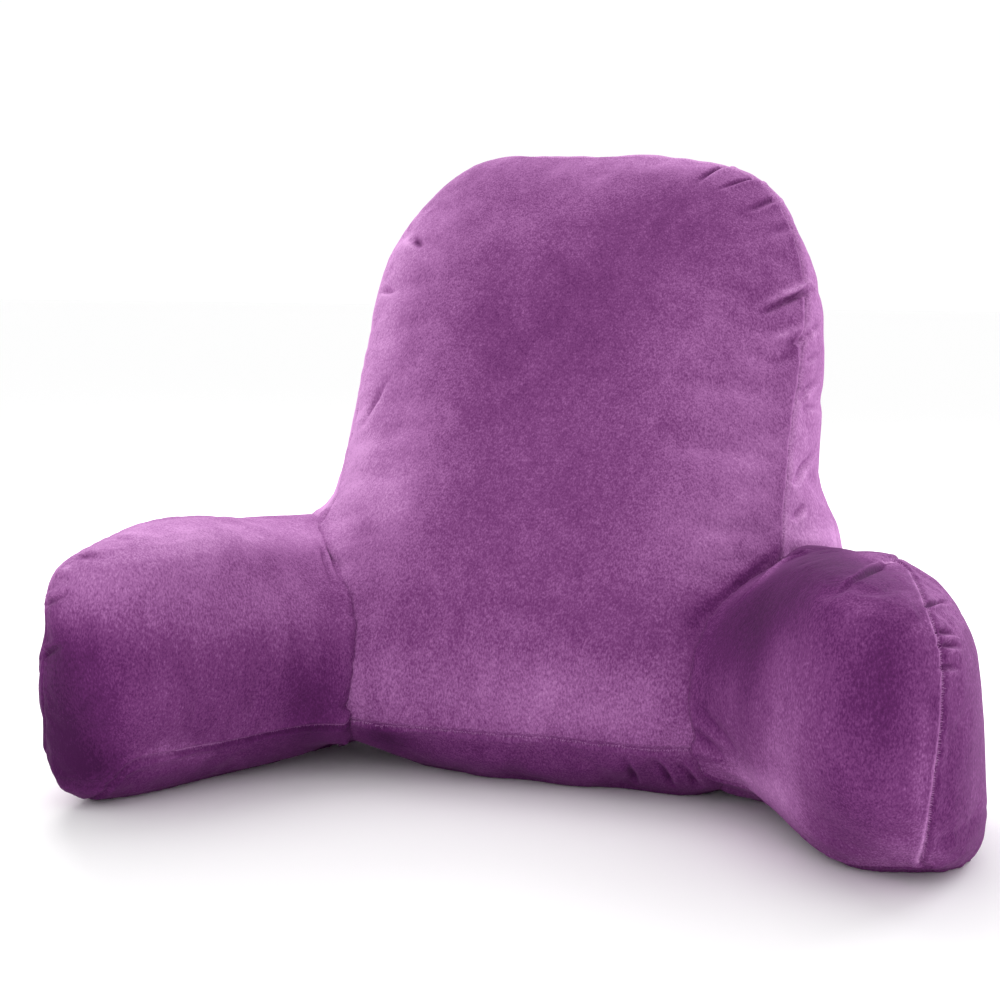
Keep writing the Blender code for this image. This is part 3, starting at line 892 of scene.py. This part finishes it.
# The pile of a panel stands over its seam as a ragged edge, tuft by tuft.
pileEdge = {
    "apart": 0.0009,                     # from one tuft to the next
    "thick": 0.00045,                    # radius of a tuft at its foot
    "root": 0.0006,                      # how deep a tuft starts in the cloth
    "napAndPaintedLight": 0.80,
    "length": {"backrest": 0.0021, "arm_left": 0.0018, "arm_right": 0.0024},
    "lean": {"backrest": 0.6, "arm_left": -0.6, "arm_right": 0.6},
    "leanScatter": 0.3,
    "lengthScatter": 0.25,
    "seamStep": 3,                       # points of the seam from one knot of the edge to the next
    "seed": 7,
}


def tuft():                              # one tuft, 1 m tall, as points and faces
    bpy.ops.object.select_all(action='DESELECT')
    bpy.ops.mesh.primitive_cone_add(vertices=4, radius1=1, radius2=0, depth=1,
                                    location=(0, 0, 0.5))
    item = bpy.context.object
    bpy.ops.object.transform_apply(location=True, rotation=False, scale=False)
    shape = pointsOf(item.data)
    faces = [list(face.vertices) for face in item.data.polygons]
    bpy.data.objects.remove(item, do_unlink=True)
    return shape, faces


def makePileEdge(node, piece, line):
    name = node + "_pile_edge"
    tree = treeOf(piece)
    shape, faces = tuft()
    chance = np.random.default_rng(pileEdge["seed"])
    scatter = pileEdge["leanScatter"]
    points = []
    polygons = []
    line = smoothLine(line[::pileEdge["seamStep"]], pileEdge["apart"])
    for before, here in zip(line, line[1:]):
        place, normal, _, _ = tree.find_nearest(Vector(here))
        heading = (Vector(here) - Vector(before)).normalized()
        across = heading.cross(normal).normalized()
        shift = chance.normal(0, 1, 3)
        lean = pileEdge["lean"][node] + scatter * shift[0]
        up = (normal + across * lean + heading * scatter * shift[1]).normalized()
        wide = up.cross(heading).normalized()
        deep = up.cross(wide)
        tall = pileEdge["length"][node] * (1 + pileEdge["lengthScatter"] * shift[2])
        foot = place - normal * pileEdge["root"]
        start = len(points)
        for x, y, z in shape:
            points.append(foot + (wide * x + deep * y) * pileEdge["thick"] + up * z * tall)
        polygons += [[start + index for index in face] for face in faces]
    mesh = bpy.data.meshes.new(name)
    mesh.from_pydata(points, [], polygons)
    item = bpy.data.objects.new(name, mesh)
    bpy.context.scene.collection.objects.link(item)
    flattenBase(item)
    paint(mesh, "napAndPaintedLight", np.full(len(mesh.vertices), pileEdge["napAndPaintedLight"]))
    mesh.shade_smooth()
    print(name, len(polygons), "faces")
    return item


edgePieces = [makePileEdge("backrest", backPiece, backSeams[0])]
for name, piece in armPieces.items():
    edgePieces.append(makePileEdge(name, piece, armRuns[name]))


# Short-pile plush, from dark to pale by how the pile lies and by painted light and shade.
plush = {
    "tones": (                           # where along the painted pile tone and light, and the colour there
        (0.00, (0.052, 0.007, 0.054)),
        (0.30, (0.112, 0.019, 0.114)),
        (0.50, (0.196, 0.050, 0.193)),
        (0.75, (0.390, 0.148, 0.383)),
        (1.00, (0.640, 0.310, 0.625)),
    ),
    "roughness": 0.9,
    "specular": 0.1,
    "sheenWeight": 0.08,
    "sheenTint": (1.0, 0.48, 0.97),
    "sheenRoughness": 0.4,
    "grain": {"scale": 900.0, "amount": 0.52, "detail": 1.0, "distortion": 0.0,
              "stretch": (1.0, 1.0, 0.5), "turn": (0, 38, 0)},
    "tufts": {"scale": 300.0, "amount": 0.21, "detail": 2.0, "distortion": 0.3},
    "strokes": {"scale": 60.0, "amount": 0.16, "detail": 3.0, "distortion": 0.5,
                "stretch": (1.0, 1.0, 0.28), "turn": (0, 38, 0)},
    "brushed": {"scale": 13.0, "amount": 0.26, "detail": 4.0, "distortion": 1.4},
    "patchRoughness": 0.6,
    "bumpStrength": 0.5,
    "bumpDistance": 0.0010,
}


def plushMaterial(name):
    material = bpy.data.materials.new(name)
    material.use_nodes = True
    nodes = material.node_tree.nodes
    links = material.node_tree.links
    shader = nodes["Principled BSDF"]
    shader.inputs["Roughness"].default_value = plush["roughness"]
    shader.inputs["Specular IOR Level"].default_value = plush["specular"]
    shader.inputs["Sheen Weight"].default_value = plush["sheenWeight"]
    shader.inputs["Sheen Roughness"].default_value = plush["sheenRoughness"]
    shader.inputs["Sheen Tint"].default_value = plush["sheenTint"] + (1.0,)

    place = nodes.new("ShaderNodeTexCoord")
    apart = nodes.new("ShaderNodeSeparateXYZ")
    outward = nodes.new("ShaderNodeMath")
    outward.operation = 'ABSOLUTE'
    halves = nodes.new("ShaderNodeCombineXYZ")   # the two halves are brushed in mirror image
    links.new(place.outputs["Object"], apart.inputs["Vector"])
    links.new(apart.outputs["X"], outward.inputs[0])
    links.new(outward.outputs[0], halves.inputs["X"])
    links.new(apart.outputs["Y"], halves.inputs["Y"])
    links.new(apart.outputs["Z"], halves.inputs["Z"])

    def patches(look, source):
        mapping = nodes.new("ShaderNodeMapping")
        mapping.inputs["Scale"].default_value = look.get("stretch", (1, 1, 1))
        mapping.inputs["Rotation"].default_value = [math.radians(angle)
                                                    for angle in look.get("turn", (0, 0, 0))]
        texture = nodes.new("ShaderNodeTexNoise")
        texture.inputs["Scale"].default_value = look["scale"]
        texture.inputs["Detail"].default_value = look["detail"]
        texture.inputs["Roughness"].default_value = plush["patchRoughness"]
        texture.inputs["Distortion"].default_value = look["distortion"]
        links.new(source, mapping.inputs["Vector"])
        links.new(mapping.outputs["Vector"], texture.inputs["Vector"])
        return texture.outputs["Fac"]

    def added(value, look, tone):        # tone + amount * (value - 0.5)
        centred = nodes.new("ShaderNodeMath")
        centred.operation = 'SUBTRACT'
        centred.inputs[1].default_value = 0.5
        links.new(value, centred.inputs[0])
        node = nodes.new("ShaderNodeMath")
        node.operation = 'MULTIPLY_ADD'
        node.inputs[1].default_value = look["amount"]
        links.new(centred.outputs[0], node.inputs[0])
        links.new(tone, node.inputs[2])
        return node.outputs[0]

    grain = patches(plush["grain"], halves.outputs["Vector"])
    tufts = patches(plush["tufts"], place.outputs["Object"])
    strokes = patches(plush["strokes"], halves.outputs["Vector"])
    brushed = patches(plush["brushed"], place.outputs["Object"])
    napAndPaintedLight = nodes.new("ShaderNodeAttribute")
    napAndPaintedLight.attribute_name = "napAndPaintedLight"
    tone = added(grain, plush["grain"], napAndPaintedLight.outputs["Fac"])
    tone = added(tufts, plush["tufts"], tone)
    tone = added(strokes, plush["strokes"], tone)
    tone = added(brushed, plush["brushed"], tone)

    ramp = nodes.new("ShaderNodeValToRGB")
    stops = ramp.color_ramp.elements
    stops[0].position = plush["tones"][0][0]
    stops[0].color = plush["tones"][0][1] + (1.0,)
    stops[1].position = plush["tones"][-1][0]
    stops[1].color = plush["tones"][-1][1] + (1.0,)
    for position, colour in plush["tones"][1:-1]:
        stops.new(position).color = colour + (1.0,)
    links.new(tone, ramp.inputs["Fac"])
    links.new(ramp.outputs["Color"], shader.inputs["Base Color"])

    bump = nodes.new("ShaderNodeBump")
    bump.inputs["Strength"].default_value = plush["bumpStrength"]
    bump.inputs["Distance"].default_value = plush["bumpDistance"]
    links.new(tufts, bump.inputs["Height"])
    links.new(bump.outputs["Normal"], shader.inputs["Normal"])
    return material


plushCloth = plushMaterial("plush")
for piece, node in ((backPiece, "backrest"), (armPieces["arm_left"], "arm_left"),
                    (armPieces["arm_right"], "arm_right")):
    piece.data.materials.append(plushCloth)
    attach(piece, "root")
    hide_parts(node)
for piece in edgePieces:
    piece.data.materials.append(plushCloth)
    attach(piece, "root")
print("plush on")


# A plain pale floor and soft studio light.
studio = {
    "floorSize": 60.0,
    "floorColour": (0.97, 0.97, 0.97),
    "floorRoughness": 0.9,
    "floorSpecular": 0.1,
    "skyColour": (1.0, 1.0, 1.0),
    "skyStrength": 1.02,
}
softboxes = (
    {"name": "overhead", "place": (-0.5, 0.7, 1.9), "aim": (0, 0, 0.2), "size": 1.4, "power": 10,
     "colour": (1.0, 1.0, 1.0)},
    {"name": "leftRear", "place": (-1.5, 1.7, 1.2), "aim": (0, 0, 0.3), "size": 0.9, "power": 36,
     "colour": (1.0, 0.98, 0.98)},
    {"name": "rightRear", "place": (1.4, 1.9, 1.1), "aim": (0, 0, 0.3), "size": 0.9, "power": 24,
     "colour": (0.96, 0.95, 1.0)},
)


def makeStudio():
    bpy.ops.object.select_all(action='DESELECT')
    bpy.ops.mesh.primitive_plane_add(size=studio["floorSize"], location=(0, 0, 0))
    floor = bpy.context.object
    floor.name = "floor"
    material = bpy.data.materials.new("paleFloor")
    material.use_nodes = True
    shader = material.node_tree.nodes["Principled BSDF"]
    shader.inputs["Base Color"].default_value = studio["floorColour"] + (1.0,)
    shader.inputs["Roughness"].default_value = studio["floorRoughness"]
    shader.inputs["Specular IOR Level"].default_value = studio["floorSpecular"]
    floor.data.materials.append(material)
    world = bpy.data.worlds.new("studio")
    bpy.context.scene.world = world
    world.use_nodes = True
    sky = world.node_tree.nodes["Background"]
    sky.inputs["Color"].default_value = studio["skyColour"] + (1.0,)
    sky.inputs["Strength"].default_value = studio["skyStrength"]
    for box in softboxes:
        bpy.ops.object.light_add(type='AREA', location=box["place"])
        light = bpy.context.object
        light.name = box["name"]
        light.data.size = box["size"]
        light.data.energy = box["power"]
        light.data.color = box["colour"]
        aim = Vector(box["aim"]) - Vector(box["place"])
        light.rotation_euler = aim.to_track_quat('-Z', 'Y').to_euler()
    bpy.context.scene.view_settings.view_transform = 'Standard'


makeStudio()
print("studio lit")
